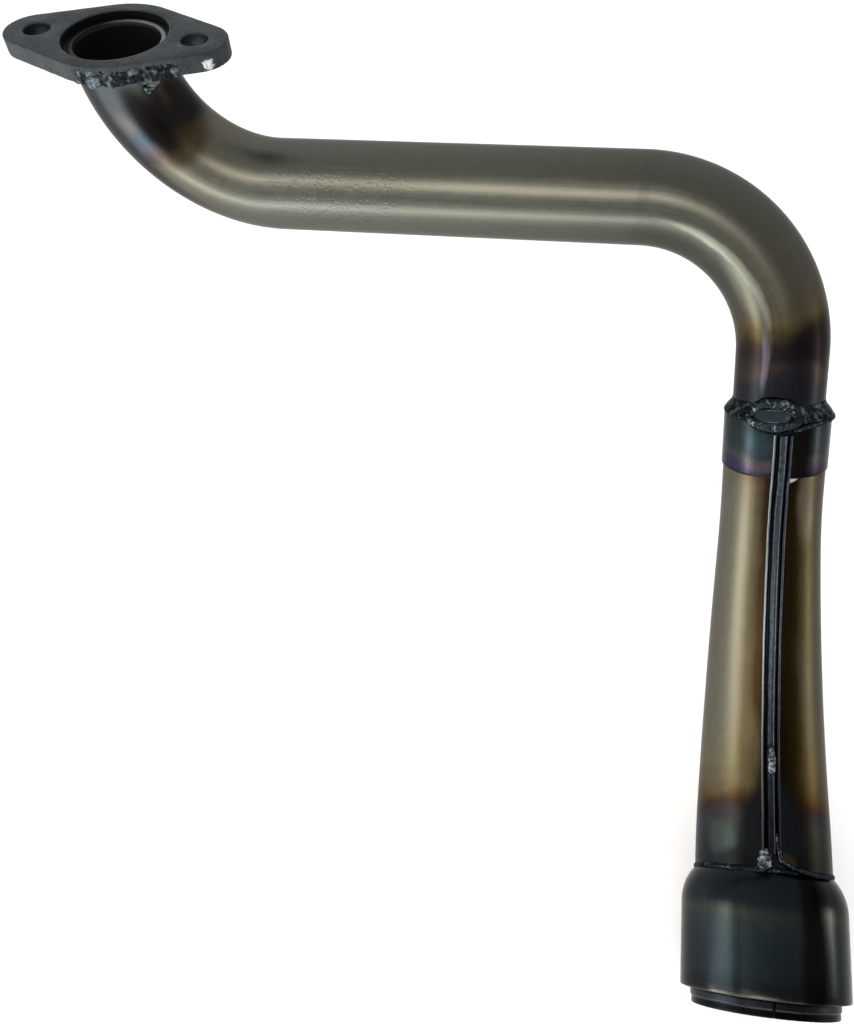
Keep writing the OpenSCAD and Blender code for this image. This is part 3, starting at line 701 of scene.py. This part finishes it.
def scaled_plate():
    """Hot-rolled steel plate under its mill scale: dull blue-grey and mottled, with rough cut edges
    and one spot where a knock has bared the metal. Its recess and stud holes are darkened below
    their rims as painted shade."""
    material, add = new_material("Scaled steel plate")
    place = add("TexCoord").outputs["Object"]
    cloud = add("TexNoise", {"Vector": place, "Scale": 1 / (9 * MM), "Detail": 5.0, "Roughness": 0.6})
    grit = add("TexNoise", {"Vector": place, "Scale": 1 / (1.1 * MM), "Detail": 6.0, "Roughness": 0.7})
    both = add("Math", (cloud, grit), operation="ADD")
    shade = add("MapRange", (both, *MOTTLED, 0.5, 1.5))
    plate = add("VectorMath", {0: finish("plate")[:3], "Scale": shade}, operation="SCALE")
    away = add("VectorMath", (place, CHIP), operation="DISTANCE")
    ragged = add("Math", (grit, 6 * MM, away), operation="MULTIPLY_ADD")
    bare = add("MapRange", (ragged, 4.2 * MM, 5.0 * MM, 1.0, 0.0))
    chipped = add("Mix", {0: bare, 6: plate, 7: linear("#b8bab4")}, data_type="RGBA")
    # Painted shade in the gasket recess and the stud holes, in the near-black colour
    recess_and_hole_shade = add("Attribute", attribute_name="soot").outputs["Fac"]
    recess_and_hole_shaded = add("Mix", {0: recess_and_hole_shade, 6: chipped, 7: finish("soot")}, data_type="RGBA")
    rough = add("MapRange", (both, *MOTTLED, 0.62, 0.42))
    bump = add("Bump", {"Height": both, "Strength": 0.7, "Distance": 0.3 * MM})
    shader = add("BsdfPrincipled", {"Base Color": recess_and_hole_shaded, "Metallic": 0.85, "Roughness": rough, "Normal": bump})
    add("OutputMaterial", (shader,))
    return material


# Pieces

class HEADER_OT_materials(bpy.types.Operator):
    """Read the sizes, lay out the centreline and make the metals"""
    bl_idname = "header.materials"
    bl_label = "Metals and centreline"

    def execute(self, context):
        global LINE
        LINE = Centreline(context.scene)
        MATERIALS.update(tube=cold_drawn_tube(), sheet=rolled_sheet(), sleeve=blued_sleeve(), cup=blued_cup(),
                         spigot=blued_spigot(), weld=bare_weld(), burnt=burnt_weld(), flat=flat_weld(),
                         silver=silver_weld(), seam=seam_steel(), plate=scaled_plate(), end=cut_tube_end())
        return {"FINISHED"}


class HEADER_OT_tube(bpy.types.Operator):
    """Make the bent header tube and the pale ring of its sawn end"""
    bl_idname = "header.tube"
    bl_label = "Header tube"

    def execute(self, context):
        tube = context.scene.header_tube
        outer, inner = tube.outer_d / 2, tube.outer_d / 2 - tube.wall
        first = LINE.start + context.scene.header_flange.gasket_depth
        turned("header_tube_skin", wall_section(np.linspace(first, TUBE_END, 200), outer, inner, EDGE), TUBE_SIDES,
               "tube", ["upper_bend", "header_tube", "lower_bend"], "tube_steel")
        # The ring stands 0.04 mm in front of the skin's end and 0.02 mm into the bore, so that it shows
        sawn = np.linspace(first - 0.04 * MM, first + 0.5 * MM, 4)
        turned("tube_end_face", wall_section(sawn, outer - 0.12 * MM, inner - 0.02 * MM, 0.1 * MM), TUBE_SIDES,
               "end", [], "tube_steel")
        return {"FINISHED"}


def plate_outline(flange, count=220):
    """The plate's outline: the hull of the middle circle and the two ears, a little uneven."""
    circles = [(0.0, flange.body_d / 2), (flange.stud_spacing / 2, flange.ear_r),
               (-flange.stud_spacing / 2, flange.ear_r)]
    corners = []
    for k in range(count):
        a = 2 * math.pi * k / count
        middle_x, r = max(circles, key=lambda circle: circle[0] * math.cos(a) + circle[1])
        corners.append((middle_x + r * math.cos(a), r * math.sin(a)))
    corners = np.array(corners)
    dense = []
    for here, there in zip(corners, np.roll(corners, -1, axis=0)):
        parts = max(1, int(np.linalg.norm(there - here) / (1.2 * MM)))
        dense += [here + (there - here) * k / parts for k in range(parts)]
    travel = np.arange(len(dense))
    rough = 1 + 0.004 * wander(travel * 0.9, 1.0) + 0.003 * wander(travel * 2.7, 4.0)
    return np.array(dense) * np.minimum(rough, 1.0)[:, None]


def round_points(middle_x, r, count=64):
    return [(middle_x + r * math.cos(2 * math.pi * k / count), r * math.sin(2 * math.pi * k / count))
            for k in range(count)]


class HEADER_OT_flange(bpy.types.Operator):
    """Make the oval flange plate with its holes and gasket recess"""
    bl_idname = "header.flange"
    bl_label = "Flange plate"

    def execute(self, context):
        flange = context.scene.header_flange
        recess_r, hole_r, hole_x = flange.gasket_d / 2, flange.stud_hole_d / 2, flange.stud_spacing / 2
        loops = [plate_outline(flange), round_points(0, recess_r, CONE_SIDES),
                 round_points(-hole_x, hole_r), round_points(hole_x, hole_r)]
        points, faces = self.plate(context, flange, loops)
        inner, outer = context.scene.header_tube.outer_d / 2 + ROOM, recess_r + ROOM / 2
        low, high = -flange.thickness + ROOM, -flange.gasket_depth
        faces += loop_faces(4, CONE_SIDES, True, len(points))
        for r, z in [(inner, low), (inner, high), (outer, high), (outer, low)]:
            points += [(x, y, z) for x, y in round_points(0, r, CONE_SIDES)]
        where = np.array(points)
        # Painted shade below 0.3 mm under the face: the recess fully, the left stud hole at 0.7, the right at 0.3
        recess_and_hole_shade = np.zeros(len(where))
        for middle_x, r, share in [(0, recess_r, 1.0), (-hole_x, hole_r, 0.7), (hole_x, hole_r, 0.3)]:
            inside = np.hypot(where[:, 0] - middle_x, where[:, 1]) < r + 0.2 * MM
            recess_and_hole_shade[inside & (where[:, 2] < -0.3 * MM)] = share
        finish_piece("flange_plate", points, faces, {"soot": recess_and_hole_shade}, "plate", ["flange"], 40)
        return {"FINISHED"}

    @staticmethod
    def plate(context, flange, loops, bevel=0.45 * MM):
        """Points and faces of the plate with bevelled edges, filled between the loops."""
        curve = bpy.data.curves.new("flange_outline", "CURVE")
        curve.dimensions, curve.fill_mode = "2D", "BOTH"
        curve.extrude, curve.bevel_depth, curve.bevel_resolution = flange.thickness / 2 - bevel, bevel, 2
        curve.offset = -bevel
        for loop in loops:
            spline = curve.splines.new("POLY")
            spline.points.add(len(loop) - 1)
            for point, (x, y) in zip(spline.points, loop):
                point.co = (x, y, 0, 1)
            spline.use_cyclic_u = True
        holder = bpy.data.objects.new("flange_outline", curve)
        context.scene.collection.objects.link(holder)
        context.view_layer.update()
        solid = holder.evaluated_get(context.evaluated_depsgraph_get()).to_mesh()
        points = [(v.co.x, v.co.y, v.co.z - flange.thickness / 2) for v in solid.vertices]
        faces = [tuple(p.vertices) for p in solid.polygons]
        bpy.data.objects.remove(holder)
        return points, faces


class HEADER_OT_flange_welds(bpy.types.Operator):
    """Lay the weld under the flange and the extra metal beside it"""
    bl_idname = "header.flange_welds"
    bl_label = "Flange welds"

    def execute(self, context):
        flange, tube_r = context.scene.header_flange, context.scene.header_tube.outer_d / 2
        under = LINE.start + flange.thickness

        def on_corner(s):
            """The corner of tube and plate, filled 2.6 mm out and 3.2 mm down."""
            return tube_r + np.clip(1 - (s - under) / (3.2 * MM), 0, 1) * 2.6 * MM

        round_tube = ring(lambda a: under + (1.9 + 0.35 * math.sin(3 * a) + 0.25 * math.sin(7 * a + 1)) * MM)
        bead("flange_weld_bead", round_tube, 4.6 * MM, 1.5 * MM, 0.4, ["flange_weld"], on_corner, closed=True,
             metal="burnt")
        tack = [(under + s, a) for s, a in path_mm_deg((10.4, 11), (8.8, 16), (7.2, 24), (6.0, 33))]
        bead("flange_tack_bead", tack, 5.4 * MM, 2.0 * MM, 2.1, ["flange_tack"], lambda s: np.full_like(s, tube_r),
             metal="silver")
        self.edge_spatter(flange)
        return {"FINISHED"}

    @staticmethod
    def edge_spatter(flange, left=-7 * MM, right=28 * MM, rows=150, lanes=34):
        """Lumps of weld that ran over the plate's front edge, from the side face to the tube."""
        # Its start below the face, its depth in the plate, its reach under the plate, and the share of
        # the lanes that lies on the side face
        top_gap, skin, under_reach, corner = 0.7 * MM, 0.6 * MM, 4.5 * MM, 0.45
        rim = plate_outline(flange)
        rim = rim[(rim[:, 1] < 0) & (rim[:, 0] > left) & (rim[:, 0] < right)]
        rim = rim[np.argsort(rim[:, 0])]
        x = np.linspace(rim[0, 0], rim[-1, 0], rows)
        y = np.interp(x, rim[:, 0], rim[:, 1])
        slope = np.gradient(y, x)
        out = np.stack([slope, -np.ones_like(slope)], -1) / np.hypot(slope, 1)[:, None]
        points, crests = [], []
        for i in range(rows):
            fade_u = min(1.0, 8 * min(i, rows - 1 - i) / rows)
            silver = math.exp(-((x[i] - 1 * MM) / (5 * MM)) ** 2)
            outward, downward = Vector((out[i, 0], out[i, 1], 0)), Vector((0, 0, -1))
            under = []
            for j in range(lanes):
                v = j / (lanes - 1)
                down = -(top_gap + (flange.thickness - top_gap) * min(v / corner, 1))
                inward = max(0.0, (v - corner) / (1 - corner)) * under_reach
                at = Vector((x[i] - out[i, 0] * inward, y[i] - out[i, 1] * inward, down))
                facing = outward if v < corner else downward
                if abs(v - corner) < 0.06:
                    facing = (outward + downward).normalized()
                coarse = noise.noise(at / (2.6 * MM) + Vector((3.1, 0, 0)))
                fine = noise.noise(at / (1.1 * MM) + Vector((0, 7.7, 0)))
                fade = fade_u * min(1.0, 5 * v) * min(1.0, 6 * (1 - v))
                rise = (-0.3 + fade * (0.75 + 1.1 * max(coarse, -0.25) + 0.4 * fine)) * MM
                points.append(at + facing * rise)
                under.append(at - facing * skin)
                crests.append(min(1.0, max(0.0, 0.4 + 1.6 * coarse + 0.8 * fine + 0.8 * silver)) * (0.4 + 0.6 * fade))
            points += under[::-1]
            crests += [0.0] * lanes
        finish_piece("flange_edge_spatter", points, loop_faces(rows, 2 * lanes, False),
                     {"unbent": np.array(points), "crest": crests}, "burnt", [], 60)


class HEADER_OT_sleeve(bpy.types.Operator):
    """Make the collar between tube and cone"""
    bl_idname = "header.sleeve"
    bl_label = "Sleeve"

    def execute(self, context):
        cone = context.scene.header_cone
        section = wall_section(np.linspace(-cone.sleeve_len, 0, 24), cone.sleeve_d / 2,
                               context.scene.header_tube.outer_d / 2 + ROOM, 0.5 * MM)
        # The collar is clean inside and gets no painted shade there, so its darkening is 0
        turned("sleeve_collar", section * (1, 1, 0), TUBE_SIDES, "sleeve", ["sleeve"], "burnt_steel")
        return {"FINISHED"}


class HEADER_OT_sleeve_welds(bpy.types.Operator):
    """Lay the weld round the sleeve's top and the oval patch over the joint"""
    bl_idname = "header.sleeve_welds"
    bl_label = "Sleeve welds"

    def execute(self, context):
        top, deg = -context.scene.header_cone.sleeve_len, math.radians
        bead("sleeve_weld_bead", ring(lambda a: top + (-2.0 + 0.3 * math.sin(4 * a + 1)) * MM), 6.2 * MM, 0.45 * MM,
             1.3, ["sleeve_weld"], closed=True, metal="burnt", uneven=0.35)
        middle = top - 1.8 * MM
        oval = [(middle + 3.9 * MM * math.sin(t), deg(-11.5) + deg(26) * math.cos(t))
                for t in np.linspace(0, 2 * math.pi, 32, endpoint=False)]

        def ring_painted_highlights(f):
            """Painted highlights: bright on the left, on a streak at the upper right and at one drop on the near
            side.
            """
            streak = np.exp(-((f - 0.86) / 0.03) ** 2)
            drop = np.exp(-((f - 0.235) / 0.014) ** 2)
            return 0.65 + 1.0 * np.clip(-np.cos(2 * math.pi * f), 0, 1) + 1.6 * streak + 4 * drop

        bead("patch_weld_ring", oval, 4.4 * MM, 2.1 * MM, 3.7, ["patch_weld"], closed=True, painted_shine=ring_painted_highlights)
        off = np.linspace(-2.9 * MM, 2.9 * MM, 15)[:, None]
        half = deg(19) * np.sqrt(np.maximum(0.04, 1 - (off / (3.1 * MM)) ** 2))
        a = half * np.linspace(-1, 1, 25) + deg(-12.5)
        s = np.broadcast_to(middle + off, a.shape)
        dish = 1.1 * MM + 0.15 * MM * wander(a * 40, 2.0) * wander(s / MM, 1.0)
        on_pipe("patch_plug_flat", and_back(s, s), and_back(ground(s) + dish, ground(s) - ROOM), and_back(a, a),
                "crest", 0.0, "flat", ["patch_plug"], False)
        return {"FINISHED"}


class HEADER_OT_cone(bpy.types.Operator):
    """Make the curved flaring cone"""
    bl_idname = "header.cone"
    bl_label = "Cone"

    def execute(self, context):
        s = np.linspace(0, CONE_END, 90)
        section = wall_section(s, cone_radius(s), cone_radius(s) - context.scene.header_cone.wall, FINE_EDGE)
        turned("cone_sheet", section, CONE_SIDES, "sheet", ["cone"], "straw_steel")
        return {"FINISHED"}


class HEADER_OT_seam(bpy.types.Operator):
    """Make the raised seam: two lips with a rod between them"""
    bl_idname = "header.seam"
    bl_label = "Seam"

    def execute(self, context):
        cone = context.scene.header_cone
        head, foot, rod_r, rod_up = -16 * MM, 145 * MM, 1.25 * MM, 1.35 * MM
        s = np.linspace(head, foot, 240)[:, None]
        g = ground(s)
        half, high, lip = cone.seam_w / 2, cone.seam_h, 1.2 * MM
        left = [(-half, -0.2 * MM), (-half - 0.05 * MM, 0.3 * high), (-half, 0.7 * high),
                (-half + 0.2 * lip, 0.93 * high), (-half + 0.5 * lip, high), (-half + 0.8 * lip, 0.9 * high),
                (-half + lip, 0.55 * high), (-half + 1.1 * lip, 0.35 * high)]
        across, up = np.array(left + [(-x, y) for x, y in left[::-1]]).T
        # Brightness across a lip, from its outer base over its top: worn tops, and dark bases as painted shadow in
        # the grooves. The right lip gets half, as painted shade
        crest = np.array([0.2, 0.3, 0.75, 1.0, 1.0, 0.7, 0.25, 0.1])
        on_pipe("seam_lips", s, g + up, (across + 0.06 * MM * wander(s / (7 * MM), 2.0)) / g,
                "crest", np.concatenate([crest, 0.5 * crest[::-1]]), "seam", ["seam_strip"], False, 50)
        turns = np.linspace(0, 2 * math.pi, 16, endpoint=False)
        rod = rod_r * (1 + 0.05 * wander(s / (5 * MM), 5.0))
        # The rod is lighter on its right than on its left: painted light and shade
        on_pipe("seam_rod_laid", s, g + (rod_up + rod * np.sin(turns)),
                (rod * np.cos(turns) + 0.1 * MM * wander(s / (11 * MM), 8.0)) / g,
                "crest", 0.48 + 0.18 * np.cos(turns), "seam", ["seam_rod"], False, 50)
        return {"FINISHED"}


class HEADER_OT_seam_welds(bpy.types.Operator):
    """Lay the welds at the seam's head, middle and foot"""
    bl_idname = "header.seam_welds"
    bl_label = "Seam welds"

    def execute(self, context):
        bead("seam_top_bead", path_mm_deg((-17.2, 9), (-18.2, 20), (-19.0, 35), (-19.2, 60), (-19.1, 99)),
             2.0 * MM, 1.0 * MM, 4.4, ["seam_top_weld"], uneven=0.6)
        bead("seam_mid_bead", path_mm_deg((104, -0.5), (110, 1), (116, 0)), 2.6 * MM, 1.1 * MM, 5.1,
             ["seam_mid_tack"], lambda s: ground(s) + 2.3 * MM, metal="silver")
        bead("seam_end_bead_left", path_mm_deg((142.5, -3), (147, -5), (151.5, -6.5)), 5.0 * MM, 2.4 * MM, 6.0,
             ["seam_end_weld"], metal="silver")
        foot = path_mm_deg((137, 3.5), (143, 5), (147.5, 8), (149.5, 18), (150.6, 38), (151.2, 58))
        # Its crests are brighter towards its start, as painted shine
        bead("seam_end_bead_right", foot, 2.2 * MM, 1.9 * MM, 7.2, [],
             painted_shine=lambda f: 1.9 - 1.5 * np.clip(f / 0.45, 0, 1))
        return {"FINISHED"}


class HEADER_OT_cup(bpy.types.Operator):
    """Make the end cup with its rounded shoulder, and the weld round its mouth"""
    bl_idname = "header.cup"
    bl_label = "End cup"

    def execute(self, context):
        cup = context.scene.header_cup
        mouth, start, straight, end = cup_places(context.scene)
        outer, inner = cup.outer_d / 2, cup.outer_d / 2 - cup.wall
        turn_r = outer - cup.shoulder_r
        s_out = start + (straight - start) * (1 - np.cos(np.linspace(0, 1, 14) * math.pi / 2))
        r_out = turn_r + np.sqrt(cup.shoulder_r ** 2 - (straight - s_out) ** 2)
        inner_r = cup.shoulder_r - cup.wall
        s_in = np.linspace(straight, straight - math.sqrt(inner_r ** 2 - (mouth - turn_r) ** 2), 14)
        r_in = turn_r + np.sqrt(inner_r ** 2 - (straight - s_in) ** 2)
        middle = np.linspace(straight, end - EDGE, 12)[1:-1]
        # The inside is darkened fully, for soot and painted shade
        section = ([(s, r, 0.0) for s, r in zip(s_out, r_out)] + [(s, outer, 0.0) for s in middle]
                   + wall_corner(end, outer, -EDGE, -EDGE, 0.0, to_end=True)
                   + wall_corner(end, inner, -EDGE, EDGE, 0.3)
                   + [(s, inner, 1.0) for s in middle[::-1]] + [(s, r, 1.0) for s, r in zip(s_in, r_in)])
        turned("end_cup_shell", np.array(section), CONE_SIDES, "cup", ["end_cup"], "burnt_steel")
        bead("cup_weld_bead", ring(lambda a: start - (0.5 + 0.2 * math.sin(5 * a)) * MM), 2.0 * MM, 0.5 * MM, 2.9,
             ["cup_weld"], closed=True, metal="burnt", painted_shine=lambda f: 0.25)
        return {"FINISHED"}


class HEADER_OT_spigot(bpy.types.Operator):
    """Make the inner pipe that the muffler slips over"""
    bl_idname = "header.spigot"
    bl_label = "Muffler spigot"

    def execute(self, context):
        cup = context.scene.header_cup
        end = cup_places(context.scene)[-1] + cup.spigot_out
        outer, inner = cup.spigot_d / 2, cup.spigot_d / 2 - cup.spigot_wall
        # The pipe is 0.4 mm thinner in its last 2.4 mm, past a rounded step
        lip, step_h = end - 2.4 * MM, 0.4 * MM
        s = np.concatenate([np.linspace(SPIGOT_START, lip - 0.3 * MM, 22), lip + np.linspace(-0.2, 0.2, 5) * MM,
                            np.linspace(lip + 0.3 * MM, end, 6)])
        step = np.clip((s - lip) / (0.4 * MM) + 0.5, 0, 1)
        section = wall_section(s, outer - step_h * step * step * (3 - 2 * step), inner, FINE_EDGE)
        s, r, soot = section.T[:, :, None]
        # Its own seam is an open slit, 0.9 mm wide and 7 mm long, its floor near-black as painted shade
        half = 0.45 * MM / outer
        a = np.unique(np.concatenate([angles(CONE_SIDES), [-half * 1.2, -half, half, half * 1.2]]))
        slit = (np.abs(a) <= half) & (s > end - 7 * MM) & (r > inner + ROOM)
        on_pipe("muffler_spigot_pipe", s, np.where(slit, inner + ROOM + 0.05 * (r - inner), r), a,
                "soot", np.where(slit, 1.0, soot), "spigot", ["muffler_spigot"])
        return {"FINISHED"}


# Stage

CAMERA_AT = (0.1734, -0.2872, 0.1455)
CAMERA_LOOK = (-0.1089, 0.6286, -0.7700)
CAMERA_UP = (-0.1160, 0.7613, 0.6379)
FOCAL_PX, CENTRE_PX, FRAME_PX, SENSOR_MM = 946.0, (491.6, 477.0), (854, 1024), 36.0

# Each lamp: the place on the metal that mirrors it, the way from there to the lamp, its distance,
# its width and height, its watts and its tint
LAMPS = {
    "Front overhead softbox": ((0.12, -0.013, -0.04), (-0.2, -0.74, 0.62), 1.3, 1.2, 0.22, 8.5, "#fff4ec"),
    "Low front strip": ((0.12, -0.016, -0.046), (-0.16, -0.91, -0.37), 0.44, 0.9, 0.025, 1.6, "#ffffff"),
    "Left softbox": ((0.23, -0.10, -0.15), (-0.91, -0.38, 0.10), 1.2, 0.42, 1.0, 8.4, "#fffdf6"),
    "Right strip": ((0.25, -0.08, -0.13), (0.98, -0.04, -0.07), 0.9, 0.16, 0.50, 2.4, "#fff4ec"),
}


class HEADER_OT_stage(bpy.types.Operator):
    """Make the floor, the soft studio light and the camera"""
    bl_idname = "header.stage"
    bl_label = "Stage"

    def execute(self, context):
        scene = context.scene
        self.floor(scene)
        self.white_tent(scene)
        for name, values in LAMPS.items():
            self.softbox(scene, name, *values)
        self.camera(scene)
        scene.view_settings.view_transform = "Standard"
        return {"FINISHED"}

    @staticmethod
    def softbox(scene, name, seen_at, towards, distance, wide, tall, watts, tint):
        """A rectangular studio lamp, hidden from the camera."""
        lamp = bpy.data.lights.new(name, "AREA")
        lamp.shape, lamp.size, lamp.size_y, lamp.energy = "RECTANGLE", wide, tall, watts
        lamp.color = linear(tint)[:3]
        holder = bpy.data.objects.new(name, lamp)
        away = Vector(towards).normalized()
        holder.matrix_world = (Matrix.Translation(Vector(seen_at) + away * distance)
                               @ away.to_track_quat("Z", "Y").to_matrix().to_4x4())
        holder.visible_camera = False
        scene.collection.objects.link(holder)

    @staticmethod
    def white_tent(scene):
        scene.world = bpy.data.worlds.new("White tent")
        scene.world.use_nodes = True
        tree = scene.world.node_tree
        tree.nodes.clear()
        add_node(tree, "OutputWorld", (add_node(tree, "Background", {"Color": linear("#ffffff"), "Strength": 1.0}),))

    @staticmethod
    def floor(scene):
        level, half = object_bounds()[0][2] - 0.5 * MM, 4.0
        mesh = bpy.data.meshes.new("Floor")
        mesh.from_pydata([(-half, -half, level), (half, -half, level), (half, half, level), (-half, half, level)], [],
                         [(0, 1, 2, 3)])
        floor = bpy.data.objects.new("Floor", mesh)
        scene.collection.objects.link(floor)
        material, add = new_material("White seamless paper")
        add("OutputMaterial", (add("BsdfDiffuse", {"Color": finish("floor")}),))
        mesh.materials.append(material)
        floor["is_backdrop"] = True

    @staticmethod
    def camera(scene):
        """A camera with the place, direction and frame of the one that took the photograph."""
        data = bpy.data.cameras.new("Camera")
        data.sensor_width, data.lens = SENSOR_MM, FOCAL_PX / max(FRAME_PX) * SENSOR_MM
        data.shift_x = -(CENTRE_PX[0] - FRAME_PX[0] / 2) / max(FRAME_PX)
        data.shift_y = -(FRAME_PX[1] / 2 - CENTRE_PX[1]) / max(FRAME_PX)
        data.clip_start, data.clip_end = 0.01, 20
        look, up = Vector(CAMERA_LOOK).normalized(), Vector(CAMERA_UP).normalized()
        right = look.cross(up).normalized()
        up = right.cross(look)
        camera = bpy.data.objects.new("Camera", data)
        camera.matrix_world = Matrix.Translation(Vector(CAMERA_AT)) @ Matrix((right, up, -look)).transposed().to_4x4()
        scene.collection.objects.link(camera)
        scene.camera = camera


class HEADER_PT_panel(bpy.types.Panel):
    """Lists the header's pieces and sizes"""
    bl_label = "Exhaust header"
    bl_idname = "HEADER_PT_panel"
    bl_space_type = "VIEW_3D"
    bl_region_type = "UI"
    bl_category = "Header"

    def draw(self, context):
        for group in GROUPS:
            box = self.layout.box()
            values = getattr(context.scene, group)
            for key in values.bl_rna.properties.keys():
                if key not in ("rna_type", "name"):
                    box.prop(values, key)
        for operator in STEPS:
            self.layout.operator(operator.bl_idname)


GROUPS = {"header_tube": HEADER_PG_tube, "header_flange": HEADER_PG_flange, "header_cone": HEADER_PG_cone,
          "header_cup": HEADER_PG_cup, "header_finish": HEADER_PG_finish}
STEPS = [HEADER_OT_materials, HEADER_OT_flange, HEADER_OT_tube, HEADER_OT_flange_welds, HEADER_OT_sleeve,
         HEADER_OT_sleeve_welds, HEADER_OT_cone, HEADER_OT_seam, HEADER_OT_seam_welds, HEADER_OT_cup,
         HEADER_OT_spigot, HEADER_OT_stage]


def register():
    for name, group in GROUPS.items():
        bpy.utils.register_class(group)
        setattr(bpy.types.Scene, name, bpy.props.PointerProperty(type=group))
    for kind in STEPS + [HEADER_PT_panel]:
        bpy.utils.register_class(kind)


def unregister():
    for kind in [HEADER_PT_panel] + STEPS[::-1]:
        bpy.utils.unregister_class(kind)
    for name, group in GROUPS.items():
        delattr(bpy.types.Scene, name)
        bpy.utils.unregister_class(group)


def main():
    register()
    for step in STEPS:
        family, action = step.bl_idname.split(".")
        getattr(getattr(bpy.ops, family), action)()


if __name__ == "__main__":
    main()
